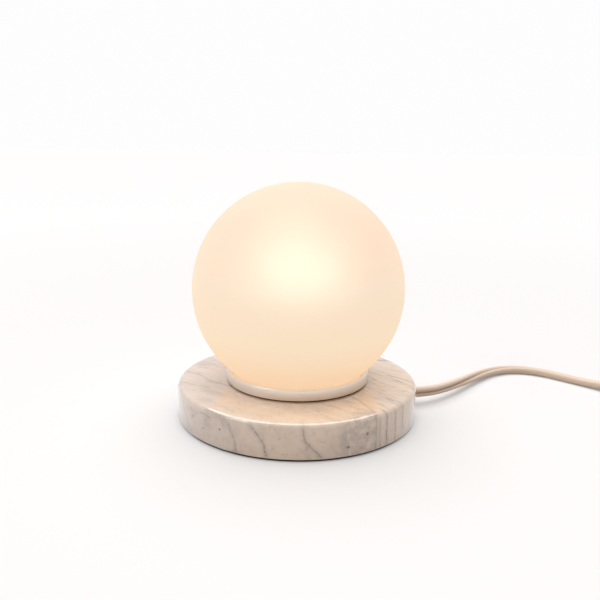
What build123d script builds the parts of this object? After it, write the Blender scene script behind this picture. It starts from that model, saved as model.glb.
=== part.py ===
from build123d import *
import math
import os

# Glass globe table lamp: an opal glass ball whose short neck drops into a turned metal collar,
# on a round marble base, with its holder, bulb, wiring, in-line switch, coiled cord and plug.
# Millimetres, +Z up. The origin is on the lamp's axis, at the underside of the foot pad.
# The cord leaves the base along +X.

# ---------------------------------------------------------------- driving dimensions

# Fits between pieces that stay put
close_play = 0.05  # pressed or threaded pieces
free_play = 0.1  # pieces that only drop in

# Stone base and foot pad
base_diameter = 138.0
base_height = 20.5  # pad and stone together
pad_thickness = 1.2
pad_inset = 1.4  # the pad's rim lies this far inside the stone's
top_edge_round = 4.5
bottom_edge_round = 0.8
recess_diameter = 60.0  # room for wiring under the stone
recess_depth = 12.5
cord_exit_height = 7.8

# Clamping tube through the stone, M10 x 1
nipple_diameter = 10.0
nipple_bore = 7.0
nipple_play = 0.3
nipple_below_nut = 0.6
nipple_above_cap = 0.4  # past the holder's floor
washer_diameter = 24.0
washer_thickness = 0.7
nut_across_flats = 14.0
nut_thickness = 2.5

# Collar, its gasket and the glass ball's seat
gasket_thickness = 0.7
gasket_width = 9.0
gasket_inset = 1.0  # the dark line under the collar
collar_diameter = 82.0
collar_height = 6.1
collar_wall = 2.1
collar_floor = 1.5
collar_lip_round = 0.8
collar_inner_round = 1.0
seat_thickness = 1.2
seat_width = 3.0
rim_play = 0.2  # between the seat and the glass

# Glass ball
globe_diameter = 120.0
glass_wall = 2.5
neck_play = 1.4  # between the neck and the collar's wall
lip_gap = 0.5  # between the ball and the collar's lip

# Sprung clips inside the neck
clip_count = 3
clip_first_angle = 90.0
clip_width = 8.0
clip_gauge = 0.5
clip_crest_play = 0.3
clip_foot_length = 9.0
clip_height = 7.0
clip_spring_out = 2.4  # from the heel to the crest
clip_lead_in = 2.6  # from the crest back to the tip
clip_heel_bend = 1.0
clip_crest_bend = 1.6
rivet_diameter = 2.4
rivet_head_diameter = 4.0
rivet_head_height = 0.8
rivet_tail_height = 0.45

# Lamp holder, E14
holder_diameter = 28.0
holder_height = 32.0
holder_mouth_diameter = 22.5
holder_wall = 2.0
cap_floor = 2.5
cap_depth = 5.8  # from the cap's floor to the insert
cap_outer_round = 2.0
cap_inner_round = 1.0
insert_floor = 3.0
insert_post_diameter = 18.8
skirt_play = 0.25
skirt_grip_band = 4.0  # the skirt's upright band above the cap
skirt_lip = 3.0
skirt_mouth_round = 1.2
shell_bore = 14.5
shell_gauge = 0.5
shell_length = 16.5
contact_height = 1.3
contact_width = 5.0
contact_gauge = 0.5
contact_foot_length = 10.0
contact_pad_length = 6.5
terminal_spread = 7.3  # from the axis to each terminal block
terminal_length = 4.0
terminal_width = 5.0
terminal_height = 4.6
terminal_screw_diameter = 2.4
terminal_screw_length = 0.9
terminal_head_diameter = 3.4
terminal_head_height = 0.8

# Bulb, G45 on an E14 cap
bulb_diameter = 45.0
bulb_length = 74.0
bulb_cap_diameter = 13.9
bulb_cap_length = 18.0
bulb_cap_gauge = 0.6
bulb_tip_diameter = 5.2
bulb_tip_height = 1.0
bulb_tip_round = 0.8
bulb_tip_play = 0.02
bulb_insulator_height = 2.7
bulb_insulator_foot_diameter = 6.8
bulb_insulator_rim = 0.6
bulb_insulator_inset = 2.0  # inside the metal cap
bulb_spigot_length = 7.0
bulb_shoulder_diameter = 16.4
bulb_shoulder_height = 1.5
bulb_bowl_share = 0.66  # how far out the bowl's side is at half its height
diffuser_mouth_diameter = 38.0
diffuser_wall = 1.4
led_board_diameter = 30.0
led_board_thickness = 1.6

# Flat twin cord in its textile sleeve, and its cores
cord_width = 6.2
core_diameter = 2.2
core_spread = 1.5  # from the cord's middle to each core
core_bend = 5.0
core_turn_out = 1.8
cord_start_inset = 3.0  # where the free cord starts, inside the stone's wall
bush_wall = 1.3
bush_length = 12.0
bush_inset = 1.4
cord_play = 0.15

# Clamp that holds the cord in the recess
clamp_length = 26.0
clamp_width = 8.0
clamp_from_wall = 9.0  # the clamp's middle, inward of the recess's side
sheath_past_clamp = 2.0
clamp_bar_thickness = 4.6
clamp_gap = 0.4
clamp_screw_diameter = 3.0
clamp_screw_spacing = 18.0
clamp_screw_grip = 4.0  # depth in the stone
clamp_head_diameter = 5.6
clamp_head_height = 1.1
clamp_hole_spare = 0.5  # below the screw's end

# In-line rocker switch
switch_length = 60.0
switch_breadth = 25.0
switch_end_breadth = 12.0
switch_height = 14.0
switch_parting = 5.5  # where the two shells meet, at the cord's middle
switch_wall = 1.5
switch_top_wall = 2.0
switch_corner_round = 3.0
switch_top_round = 2.4
switch_bottom_round = 1.2
switch_screw_diameter = 2.2
switch_screw_spread = 19.5
switch_screw_length = 8.0
switch_head_diameter = 4.6
switch_head_height = 1.3
switch_head_sink = 0.4  # the head lies this far inside the underside
switch_boss_diameter = 6.6
switch_cord_inset = 3.0  # how far the cord's sheath runs in
rocker_length = 18.6
rocker_breadth = 9.6
rocker_end_height = 5.2  # above the pivot
rocker_middle_height = 3.7
rocker_depth = 2.8
rocker_skirt = 1.2  # the straight part of its ends stops this far above the pivot
rocker_foot_share = 0.45  # length of its underside over its top
rocker_round = 0.8
rocker_tilt = 9.0  # each way from level; it rests tipped to "on"
rocker_play = 0.3
pivot_height = 10.2
pivot_diameter = 2.0
pivot_play = 0.06
pivot_ear = 1.7
strip_gauge = 0.6
strip_spread = 8.5
strip_height = 5.0
strip_width = 4.0
strip_foot_length = 6.0

# Two-pin plug
plug_breadth = 35.0
plug_thickness = 13.7
plug_length = 34.0
plug_neck_breadth = 13.0
plug_neck_thickness = 10.5
plug_corner_round = 4.0
plug_waist_share = 0.55  # where along the body its sides stop flaring
plug_waist_breadth = 32.55
plug_tail_length = 18.0
plug_tail_diameter = 8.4
plug_tail_root = 10.0
plug_rib_count = 4
plug_rib_width = 1.4
plug_rib_depth = 0.7
pin_diameter = 4.0
pin_neck_diameter = 2.8
pin_length = 19.0
pin_spacing = 18.6
pin_root = 6.0  # inside the plug's body
pin_end_round = 1.2
sleeve_diameter = 3.6  # a little under the pin's own
sleeve_length = 10.0

# Put-away coil and its tie
coil_turns = 6.25  # both layers together
coil_pitch = 6.8
coil_layer_height = 6.75
coil_inner_radius = 26.0
coil_middle = (296.0, -48.0)
coil_start_angle = -90.0
tie_width = 6.0
tie_gauge = 0.6
tie_play = 0.5
tie_lift = 0.3
tie_corner_round = 1.2
tie_turn = 2.75  # the turn, counted from the start, at which the tie sits

# ---------------------------------------------------------------- the cord's free route

# From the stone, over the table and up into the switch
route_to_switch = [
    (66.0, 0.0, 7.8),
    (79.0, 0.0, 7.8),
    (92.5, 5.0, 7.2),
    (107.0, 15.5, 6.1),
    (120.5, 28.8, 4.7),
    (134.5, 40.6, 3.6),
    (149.0, 47.6, 3.1),
    (164.0, 48.4, 3.1),
    (177.5, 42.6, 3.1),
    (187.5, 31.5, 3.1),
    (196.5, 18.0, 3.2),
    (204.5, 5.5, 4.0),
    (211.0, -5.5, 5.1),
    (216.0, -16.0, 5.5),
]
# From the switch to the coil
route_to_coil = [
    (239.2, -64.8, 5.5),
    (245.2, -77.4, 5.5),
    (259.0, -89.3, 4.7),
    (274.3, -94.9, 4.0),
    (289.8, -94.54, 4.0),
]
# From the coil down to the plug
route_to_plug = [
    (342.55, -41.8, 10.75),
    (342.8, -30.8, 10.75),
    (341.0, -18.0, 9.0),
    (336.0, -6.0, 7.0),
    (331.6, 4.0, 7.0),
]

# ---------------------------------------------------------------- derived places

base_radius = base_diameter / 2
stone_top = base_height
recess_radius = recess_diameter / 2
recess_top = pad_thickness + recess_depth
nipple_radius = nipple_diameter / 2
centre_hole_radius = nipple_radius + nipple_play

collar_radius = collar_diameter / 2
collar_inner_radius = collar_radius - collar_wall
collar_bottom = stone_top + gasket_thickness
floor_top = collar_bottom + collar_floor
collar_top = collar_bottom + collar_height
seat_top = floor_top + seat_thickness

globe_radius = globe_diameter / 2
neck_radius = collar_inner_radius - neck_play
neck_bore_radius = neck_radius - glass_wall
globe_middle_z = collar_top + lip_gap + math.sqrt(globe_radius**2 - collar_inner_radius**2)
glass_rim_z = seat_top + rim_play

holder_radius = holder_diameter / 2
cap_floor_top = floor_top + cap_floor
insert_bottom = cap_floor_top + cap_depth
insert_floor_top = insert_bottom + insert_floor
insert_radius = holder_radius - holder_wall - free_play
terminal_bottom = insert_bottom - terminal_height
core_top = cap_floor_top + 3.2
core_end_y = terminal_spread - terminal_length / 2 + 1.2  # inside the terminal block
terminal_screw_y = terminal_spread + 1.0
holder_top = floor_top + holder_height
shell_outer_radius = shell_bore / 2 + shell_gauge
bulb_tip_z = insert_floor_top + contact_height + bulb_tip_play
bulb_cap_bottom = bulb_tip_z + bulb_tip_height + bulb_insulator_height
bulb_cap_top = bulb_cap_bottom + bulb_cap_length
bulb_cap_bore_radius = bulb_cap_diameter / 2 - bulb_cap_gauge - close_play
bulb_middle_z = bulb_tip_z + bulb_length - bulb_diameter / 2
diffuser_seat_z = bulb_middle_z - math.sqrt((bulb_diameter / 2) ** 2 - (diffuser_mouth_diameter / 2) ** 2)

cord_radius = cord_width / 2
cord_start_x = base_radius - cord_start_inset
bush_radius = cord_radius + cord_play + bush_wall
clamp_middle_x = recess_radius - clamp_from_wall
sheath_end_x = clamp_middle_x - clamp_width / 2 - sheath_past_clamp
clamp_bar_top = cord_exit_height - clamp_gap / 2
clamp_bar_bottom = clamp_bar_top - clamp_bar_thickness
coil_bottom_z = tie_gauge + tie_lift + cord_radius


# ---------------------------------------------------------------- helpers


def rod(radius, start, end):
    """A round bar between two points."""
    foot = Vector(*start)
    along = Vector(*end) - foot
    return Solid.make_cylinder(radius, along.length, Plane(foot, z_dir=along))


def ring(outer, inner, bottom, top):
    """A round ring about the lamp's axis."""
    return rod(outer, (0, 0, bottom), (0, 0, top)) - rod(inner, (0, 0, bottom), (0, 0, top))


def block(size_x, size_y, bottom, top, x=0.0, y=0.0):
    """An upright block, centred at x, y."""
    return Pos(x, y, (bottom + top) / 2) * Box(size_x, size_y, top - bottom)


def turned(points, rounds=()):
    """A body of revolution from (radius, height) points; rounds pairs a corner with its radius."""
    face = make_face(Polyline(*points, close=True))
    for corner, radius in rounds:
        face = fillet(face.vertices().sort_by_distance((*points[corner], 0))[0], radius)
    return revolve(Plane.XZ * face, Axis.Z)


def around(shape, angles):
    """Copies of a shape turned about the lamp's axis."""
    return [Rot(0, 0, angle) * shape for angle in angles]


def group(shapes):
    """Like pieces kept together as separate solids."""
    return Compound(children=[solid for shape in shapes for solid in shape.solids()])


def corner_radii(points):
    """Each corner's largest smooth arc, from its shorter run and its turn."""
    runs = [Vector(*b) - Vector(*a) for a, b in zip(points, points[1:])]
    radii = []
    for before, after in zip(runs, runs[1:]):
        half_turn = math.radians(before.get_angle(after)) / 2
        radii.append(0.45 * min(before.length, after.length) / math.tan(half_turn))
    return radii


def tube(name, points, radius, radii):
    """A round tube along straight runs joined by arcs; prints its bends and its volume."""
    path = FilletPolyline(*points, radius=radii)
    body = sweep(Plane(path @ 0, z_dir=path % 0) * Circle(radius), path=path)
    expected = math.pi * radius**2 * path.length
    print(f"{name}: length {path.length:.1f}, tightest bend {min(radii):.1f},",
          f"volume over section x length {body.volume / expected:.4f}")
    return body


# ---------------------------------------------------------------- stone base


def make_foot_pad():
    return rod(base_radius - pad_inset, (0, 0, 0), (0, 0, pad_thickness))


def clamp_screw_places():
    return [(clamp_middle_x, side * clamp_screw_spacing / 2) for side in (-1, 1)]


def make_marble_base():
    stone = turned(
        [
            (centre_hole_radius, recess_top),
            (recess_radius, recess_top),
            (recess_radius, pad_thickness),
            (base_radius, pad_thickness),
            (base_radius, stone_top),
            (centre_hole_radius, stone_top),
        ],
        rounds=[(4, top_edge_round), (3, bottom_edge_round)],
    )
    stone -= rod(
        bush_radius + free_play,
        (recess_radius - 2, 0, cord_exit_height),
        (base_radius + 1, 0, cord_exit_height),
    )
    for x, y in clamp_screw_places():
        stone -= rod(
            clamp_screw_diameter / 2 + free_play,
            (x, y, recess_top - 1),
            (x, y, recess_top + clamp_screw_grip + clamp_hole_spare),
        )
    return stone


# ---------------------------------------------------------------- clamping tube


def make_nipple():
    bottom = recess_top - washer_thickness - nut_thickness - nipple_below_nut
    return ring(nipple_radius, nipple_bore / 2, bottom, cap_floor_top + nipple_above_cap)


def make_lock_washer():
    return ring(washer_diameter / 2, centre_hole_radius, recess_top - washer_thickness, recess_top)


def make_lock_nut():
    top = recess_top - washer_thickness
    blank = extrude(RegularPolygon(nut_across_flats / 2, 6, major_radius=False), nut_thickness)
    bore = rod(nipple_radius + close_play, (0, 0, -1), (0, 0, nut_thickness + 1))
    return Pos(0, 0, top - nut_thickness) * (blank - bore)


# ---------------------------------------------------------------- collar and glass


def clip_angles():
    return [clip_first_angle + 360 / clip_count * n for n in range(clip_count)]


def clip_points():
    """The clip's middle line in radius and height: foot, riser, crest, and a lead-in for the glass."""
    crest = neck_bore_radius - clip_crest_play - clip_gauge / 2
    floor = floor_top + clip_gauge / 2
    heel = crest - clip_spring_out
    return [
        (heel - clip_foot_length, 0, floor),
        (heel, 0, floor),
        (crest, 0, floor + clip_height * 0.5),
        (crest - clip_lead_in, 0, floor + clip_height),
    ]


def rivet_radius_place():
    return clip_points()[0][0] + clip_foot_length / 2


def make_collar_gasket():
    outer = collar_radius - gasket_inset
    return ring(outer, outer - gasket_width, stone_top, collar_bottom)


def make_collar():
    cup = turned(
        [
            (centre_hole_radius, collar_bottom),
            (collar_radius, collar_bottom),
            (collar_radius, collar_top),
            (collar_inner_radius, collar_top),
            (collar_inner_radius, floor_top),
            (centre_hole_radius, floor_top),
        ],
        rounds=[
            (1, collar_lip_round / 2),
            (2, collar_lip_round),
            (3, collar_lip_round),
            (4, collar_inner_round),
        ],
    )
    x = rivet_radius_place()
    hole = rod(rivet_diameter / 2 + close_play, (x, 0, collar_bottom - 1), (x, 0, floor_top + 1))
    for drilled in around(hole, clip_angles()):
        cup -= drilled
    return cup


def make_globe_seat():
    return ring(neck_radius, neck_radius - seat_width, floor_top, seat_top)


def make_globe():
    """The blown ball: one wall from the pole round to the neck, with a fire-polished rim."""
    inner = globe_radius - glass_wall
    middle = globe_middle_z
    neck_outer_z = middle - math.sqrt(globe_radius**2 - neck_radius**2)
    neck_inner_z = middle - math.sqrt(inner**2 - neck_bore_radius**2)
    rim = glass_rim_z + glass_wall / 2
    rim_lowest = (neck_radius - glass_wall / 2, glass_rim_z)
    wall = make_face([
        ThreePointArc((0, middle + globe_radius), (globe_radius, middle), (neck_radius, neck_outer_z)),
        Line((neck_radius, neck_outer_z), (neck_radius, rim)),
        ThreePointArc((neck_radius, rim), rim_lowest, (neck_bore_radius, rim)),
        Line((neck_bore_radius, rim), (neck_bore_radius, neck_inner_z)),
        ThreePointArc((neck_bore_radius, neck_inner_z), (inner, middle), (0, middle + inner)),
        Line((0, middle + inner), (0, middle + globe_radius)),
    ])
    return revolve(Plane.XZ * wall, Axis.Z)


def make_clips():
    path = FilletPolyline(*clip_points(), radius=[clip_heel_bend, clip_crest_bend])
    across = Plane(path @ 0, x_dir=(0, 0, 1), z_dir=path % 0)
    strip = sweep(across * Rectangle(clip_gauge, clip_width), path=path)
    x = rivet_radius_place()
    strip -= rod(rivet_diameter / 2 + close_play, (x, 0, floor_top - 1), (x, 0, floor_top + 2))
    return group(around(strip, clip_angles()))


def make_clip_rivets():
    x = rivet_radius_place()
    head = floor_top + clip_gauge
    rivet = rod(rivet_diameter / 2, (x, 0, collar_bottom), (x, 0, head))
    rivet += rod(rivet_head_diameter / 2, (x, 0, head), (x, 0, head + rivet_head_height))
    rivet += rod(rivet_head_diameter / 2, (x, 0, collar_bottom - rivet_tail_height), (x, 0, collar_bottom))
    return group(around(rivet, clip_angles()))


# ---------------------------------------------------------------- lamp holder


def make_holder_cap():
    inner = holder_radius - holder_wall
    return turned(
        [
            (nipple_radius + close_play, floor_top),
            (holder_radius, floor_top),
            (holder_radius, insert_floor_top),
            (inner, insert_floor_top),
            (inner, cap_floor_top),
            (nipple_radius + close_play, cap_floor_top),
        ],
        rounds=[(1, cap_outer_round), (4, cap_inner_round)],
    )


def make_holder_skirt():
    """The skirt over the insert: a cone that closes to the mouth, with a lip that holds the insert."""
    inner = insert_post_diameter / 2 + skirt_play
    lip = shell_outer_radius + skirt_play
    return turned(
        [
            (inner, insert_floor_top),
            (holder_radius, insert_floor_top),
            (holder_radius, insert_floor_top + skirt_grip_band),
            (holder_mouth_diameter / 2, holder_top),
            (lip, holder_top),
            (lip, holder_top - skirt_lip),
            (inner, holder_top - skirt_lip),
        ],
        rounds=[(3, skirt_mouth_round)],
    )


def make_holder_insert():
    """The ceramic core: a floor on the cap's rim line and a post that holds the screw shell."""
    post = insert_post_diameter / 2
    post_top = holder_top - skirt_lip - skirt_play
    bore = shell_outer_radius + close_play
    return turned([
        (0, insert_bottom),
        (insert_radius, insert_bottom),
        (insert_radius, insert_floor_top),
        (post, insert_floor_top),
        (post, post_top),
        (bore, post_top),
        (bore, insert_floor_top),
        (0, insert_floor_top),
    ])


def make_screw_shell():
    return ring(shell_outer_radius, shell_bore / 2, insert_floor_top, insert_floor_top + shell_length)


def make_centre_contact():
    """The sprung tongue under the bulb's tip: a flat foot and a raised pad."""
    top = insert_floor_top + contact_height
    foot = block(contact_foot_length, contact_width, insert_floor_top, insert_floor_top + contact_gauge)
    riser_x = (contact_gauge - contact_pad_length) / 2
    riser = block(contact_gauge, contact_width, insert_floor_top, top, x=riser_x)
    pad = block(contact_pad_length, contact_width, top - contact_gauge, top)
    return foot + riser + pad


def make_terminal_blocks():
    blocks = []
    for side in (-1, 1):
        y = side * terminal_spread
        body = block(terminal_width, terminal_length, terminal_bottom, insert_bottom, y=y)
        body -= rod(
            core_diameter / 2 + free_play,
            (0, y - side * terminal_length, core_top),
            (0, side * (core_end_y + free_play), core_top),
        )
        body -= rod(
            terminal_screw_diameter / 2 + close_play,
            (0, side * terminal_screw_y, terminal_bottom - 1),
            (0, side * terminal_screw_y, terminal_bottom + terminal_screw_length + free_play),
        )
        blocks.append(body)
    return group(blocks)


def make_terminal_screws():
    screws = []
    for side in (-1, 1):
        y = side * terminal_screw_y
        end = terminal_bottom + terminal_screw_length
        shank = rod(terminal_screw_diameter / 2, (0, y, terminal_bottom), (0, y, end))
        head_bottom = terminal_bottom - terminal_head_height
        head = rod(terminal_head_diameter / 2, (0, y, head_bottom), (0, y, terminal_bottom))
        screws.append(head + shank)
    return group(screws)


# ---------------------------------------------------------------- bulb


def make_bulb_contact():
    return turned(
        [
            (0, bulb_tip_z),
            (bulb_tip_diameter / 2, bulb_tip_z),
            (bulb_tip_diameter / 2, bulb_tip_z + bulb_tip_height),
            (0, bulb_tip_z + bulb_tip_height),
        ],
        rounds=[(1, bulb_tip_round)],
    )


def make_bulb_insulator():
    bottom = bulb_tip_z + bulb_tip_height
    top = bulb_cap_bottom + bulb_insulator_inset
    wide = bulb_cap_bore_radius
    return turned([
        (0, bottom),
        (bulb_insulator_foot_diameter / 2, bottom),
        (wide - bulb_insulator_rim, bulb_cap_bottom),
        (wide, bulb_cap_bottom),
        (wide, top),
        (0, top),
    ])


def make_bulb_screw_cap():
    outer = bulb_cap_diameter / 2
    return ring(outer, outer - bulb_cap_gauge, bulb_cap_bottom, bulb_cap_top)


def make_bulb_housing():
    """The bowl between cap and diffuser, with a spigot in the cap."""
    seat = diffuser_seat_z
    mouth = diffuser_mouth_diameter / 2
    spigot = bulb_cap_bore_radius
    spigot_bottom = bulb_cap_top - bulb_spigot_length
    shoulder = bulb_shoulder_diameter / 2
    shoulder_top = bulb_cap_top + bulb_shoulder_height
    half = make_face([
        Line((0, spigot_bottom), (spigot, spigot_bottom)),
        Line((spigot, spigot_bottom), (spigot, bulb_cap_top)),
        Line((spigot, bulb_cap_top), (shoulder, bulb_cap_top)),
        Line((shoulder, bulb_cap_top), (shoulder, shoulder_top)),
        ThreePointArc(
            (shoulder, shoulder_top),
            (mouth * bulb_bowl_share, (shoulder_top + seat) / 2),
            (mouth, seat),
        ),
        Line((mouth, seat), (0, seat)),
        Line((0, seat), (0, spigot_bottom)),
    ])
    return revolve(Plane.XZ * half, Axis.Z)


def make_led_board():
    return rod(
        led_board_diameter / 2,
        (0, 0, diffuser_seat_z),
        (0, 0, diffuser_seat_z + led_board_thickness),
    )


def make_bulb_diffuser():
    """The ball of the bulb, a thin shell that stands on the housing's rim."""
    outer = bulb_diameter / 2
    inner = outer - diffuser_wall
    seat = diffuser_seat_z
    mouth = diffuser_mouth_diameter / 2
    inner_mouth = math.sqrt(inner**2 - (bulb_middle_z - seat) ** 2)
    half = make_face([
        ThreePointArc((0, bulb_middle_z + outer), (outer, bulb_middle_z), (mouth, seat)),
        Line((mouth, seat), (inner_mouth, seat)),
        ThreePointArc((inner_mouth, seat), (inner, bulb_middle_z), (0, bulb_middle_z + inner)),
        Line((0, bulb_middle_z + inner), (0, bulb_middle_z + outer)),
    ])
    return revolve(Plane.XZ * half, Axis.Z)


# ---------------------------------------------------------------- wiring inside the base


def make_cord_bush():
    end = base_radius - bush_inset
    start = end - bush_length
    height = cord_exit_height
    bush = rod(bush_radius, (start, 0, height), (end, 0, height))
    return bush - rod(cord_radius + cord_play, (start - 1, 0, height), (end + 1, 0, height))


def make_inner_cord():
    height = cord_exit_height
    return rod(cord_radius, (sheath_end_x, 0, height), (cord_start_x, 0, height))


def make_core(name, side):
    """One core: out of the cord's end, under the nipple, up its bore and out to its terminal."""
    y = side * core_spread
    points = [
        (sheath_end_x, y, cord_exit_height),
        (0, y, cord_exit_height),
        (0, y, core_top),
        (0, side * core_end_y, core_top),
    ]
    return tube(name, points, core_diameter / 2, [core_bend, core_turn_out])


def clamp_block(bottom, top):
    body = block(clamp_width, clamp_length, bottom, top, x=clamp_middle_x)
    groove_end = clamp_width / 2 + 1
    body -= rod(
        cord_radius + free_play,
        (clamp_middle_x - groove_end, 0, cord_exit_height),
        (clamp_middle_x + groove_end, 0, cord_exit_height),
    )
    for x, y in clamp_screw_places():
        body -= rod(clamp_screw_diameter / 2 + free_play, (x, y, bottom - 1), (x, y, top + 1))
    return body


def make_clamp_bar():
    return clamp_block(clamp_bar_bottom, clamp_bar_top)


def make_clamp_saddle():
    return clamp_block(cord_exit_height + clamp_gap / 2, recess_top)


def make_clamp_screws():
    screws = []
    bottom = clamp_bar_bottom
    for x, y in clamp_screw_places():
        head = rod(clamp_head_diameter / 2, (x, y, bottom - clamp_head_height), (x, y, bottom))
        shank = rod(clamp_screw_diameter / 2, (x, y, bottom), (x, y, recess_top + clamp_screw_grip))
        screws.append(head + shank)
    return group(screws)


# ---------------------------------------------------------------- in-line switch


def heading(points):
    """The direction of a route's last run over the table, in degrees."""
    (x0, y0, _), (x1, y1, _) = points[-2:]
    return math.degrees(math.atan2(y1 - y0, x1 - x0))


cord_in_switch = switch_length / 2 - switch_cord_inset
switch_heading = heading(route_to_switch)
switch_middle = (
    route_to_switch[-1][0] + cord_in_switch * math.cos(math.radians(switch_heading)),
    route_to_switch[-1][1] + cord_in_switch * math.sin(math.radians(switch_heading)),
)
switch_place = Pos(*switch_middle, 0) * Rot(0, 0, switch_heading)
switch_head_top = switch_head_sink + switch_head_height


def switch_outline():
    """Two bowed sides between two short straight ends."""
    x, y, end = switch_length / 2, switch_breadth / 2, switch_end_breadth / 2
    face = make_face([
        ThreePointArc((-x, -end), (0, -y), (x, -end)),
        Line((x, -end), (x, end)),
        ThreePointArc((x, end), (0, y), (-x, end)),
        Line((-x, end), (-x, -end)),
    ])
    return fillet(face.vertices(), switch_corner_round)


def switch_screw_rods(radius, bottom, top):
    return [rod(radius, (x, 0, bottom), (x, 0, top)) for x in (-switch_screw_spread, switch_screw_spread)]


def switch_cord_hole():
    end = switch_length / 2 + 1
    return rod(cord_radius + cord_play, (-end, 0, switch_parting), (end, 0, switch_parting))


def make_switch_lower():
    shell = extrude(switch_outline(), switch_parting)
    shell = fillet(shell.faces().sort_by(Axis.Z)[0].edges(), switch_bottom_round)
    shell -= Pos(0, 0, switch_wall) * extrude(offset(switch_outline(), -switch_wall), switch_parting)
    shell -= switch_cord_hole()
    for boss in switch_screw_rods(switch_boss_diameter / 2, switch_wall / 2, switch_parting):
        shell += boss
    for hole in switch_screw_rods(switch_screw_diameter / 2 + free_play, -1, switch_parting + 1):
        shell -= hole
    for sink in switch_screw_rods(switch_head_diameter / 2 + free_play, -1, switch_head_top):
        shell -= sink
    return switch_place * shell


def make_switch_upper():
    height = switch_height - switch_parting
    shell = extrude(switch_outline(), height)
    shell = fillet(shell.faces().sort_by(Axis.Z)[-1].edges(), switch_top_round)
    shell -= extrude(offset(switch_outline(), -switch_wall), height - switch_top_wall)
    shell = Pos(0, 0, switch_parting) * shell
    shell -= switch_cord_hole()
    under_top = switch_height - switch_top_wall
    for boss in switch_screw_rods(switch_boss_diameter / 2, switch_parting, under_top + 0.2):
        shell += boss
    for hole in switch_screw_rods(switch_screw_diameter / 2 + free_play, switch_parting - 1, under_top - 1):
        shell -= hole
    opening = rocker_breadth / 2 + rocker_play
    for side in (-1, 1):
        y = side * (opening + pivot_ear / 2)
        shell += block(3 * pivot_diameter, pivot_ear, pivot_height - 1.2 * pivot_diameter,
                       under_top + 0.2, y=y)
    swept = rocker_length + 2 * rocker_end_height * math.sin(math.radians(rocker_tilt))
    shell -= block(swept + 2 * rocker_play, 2 * opening, under_top - 0.5, switch_height + 1)
    reach = opening + pivot_ear + 1
    shell -= rod(pivot_diameter / 2 + pivot_play, (0, -reach, pivot_height), (0, reach, pivot_height))
    return switch_place * shell


def make_switch_rocker():
    """The key: a shallow V on top, tapered below, tipped to its resting side."""
    end = rocker_length / 2
    foot = end * rocker_foot_share
    side = make_face(Polyline(
        (-end, rocker_end_height),
        (0, rocker_middle_height),
        (end, rocker_end_height),
        (end, rocker_skirt),
        (foot, -rocker_depth),
        (-foot, -rocker_depth),
        (-end, rocker_skirt),
        close=True,
    ))
    for x in (-end, end):
        side = fillet(side.vertices().sort_by_distance((x, rocker_end_height, 0))[0], rocker_round)
    key = extrude(Plane.XZ * side, rocker_breadth / 2, both=True)
    key -= rod(pivot_diameter / 2 + pivot_play, (0, -rocker_breadth, 0), (0, rocker_breadth, 0))
    return switch_place * (Pos(0, 0, pivot_height) * Rot(0, rocker_tilt, 0) * key)


def make_switch_pivot():
    reach = rocker_breadth / 2 + rocker_play + pivot_ear
    return switch_place * rod(pivot_diameter / 2, (0, -reach, pivot_height), (0, reach, pivot_height))


def make_switch_contacts():
    strips = []
    for side in (-1, 1):
        x = side * strip_spread
        foot_x = x + side * (strip_foot_length - strip_gauge) / 2
        foot = block(strip_foot_length, strip_width, switch_wall, switch_wall + strip_gauge, x=foot_x)
        riser = block(strip_gauge, strip_width, switch_wall, switch_wall + strip_height, x=x)
        strips.append(switch_place * (foot + riser))
    return group(strips)


def make_switch_screws():
    screws = []
    heads = switch_screw_rods(switch_head_diameter / 2, switch_head_sink, switch_head_top)
    shanks = switch_screw_rods(switch_screw_diameter / 2, switch_head_top, switch_screw_length)
    for head, shank in zip(heads, shanks):
        screws.append(switch_place * (head + shank))
    return group(screws)


# ---------------------------------------------------------------- plug

plug_heading = heading(route_to_plug)
plug_place = Pos(*route_to_plug[-1]) * Rot(0, 0, plug_heading)
plug_face_x = plug_tail_length + plug_length


def plug_section(x, breadth, thickness, corner):
    return Plane((x, 0, 0), x_dir=(0, 1, 0), z_dir=(1, 0, 0)) * RectangleRounded(breadth, thickness, corner)


def make_plug_body():
    """One moulding: a ribbed tail that bends with the cord, and a flat body that widens to its face."""
    start = plug_tail_length
    middle = start + plug_length * plug_waist_share
    body = loft([
        plug_section(start, plug_neck_breadth, plug_neck_thickness, plug_corner_round),
        plug_section(middle, plug_waist_breadth, plug_thickness, plug_corner_round),
        plug_section(plug_face_x, plug_breadth, plug_thickness, plug_corner_round),
    ])
    tail = Solid.make_cone(plug_tail_diameter / 2, plug_tail_root / 2, start + 1,
                           Plane((0, 0, 0), z_dir=(1, 0, 0)))
    step = start / (plug_rib_count + 1)
    for n in range(1, plug_rib_count + 1):
        x = n * step
        groove = rod(plug_tail_root, (x, 0, 0), (x + plug_rib_width, 0, 0))
        outside = plug_tail_diameter / 2 + (plug_tail_root - plug_tail_diameter) / 2 * x / start
        core = rod(outside - plug_rib_depth, (x - 1, 0, 0), (x + plug_rib_width + 1, 0, 0))
        tail -= groove - core
    body += tail
    for side in (-1, 1):
        y = side * pin_spacing / 2
        body -= rod(
            pin_neck_diameter / 2 + close_play,
            (plug_face_x - pin_root - free_play, y, 0),
            (plug_face_x + 1, y, 0),
        )
    return plug_place * body


def make_plug_pins():
    pins = []
    for side in (-1, 1):
        y = side * pin_spacing / 2
        tip = plug_face_x + pin_length
        neck = rod(pin_neck_diameter / 2, (plug_face_x - pin_root, y, 0), (plug_face_x + sleeve_length, y, 0))
        shaft = rod(pin_diameter / 2, (plug_face_x + sleeve_length, y, 0), (tip, y, 0))
        shaft = fillet(shaft.edges().sort_by(Axis.X)[-1], pin_end_round)
        pins.append(plug_place * (neck + shaft))
    return group(pins)


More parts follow.
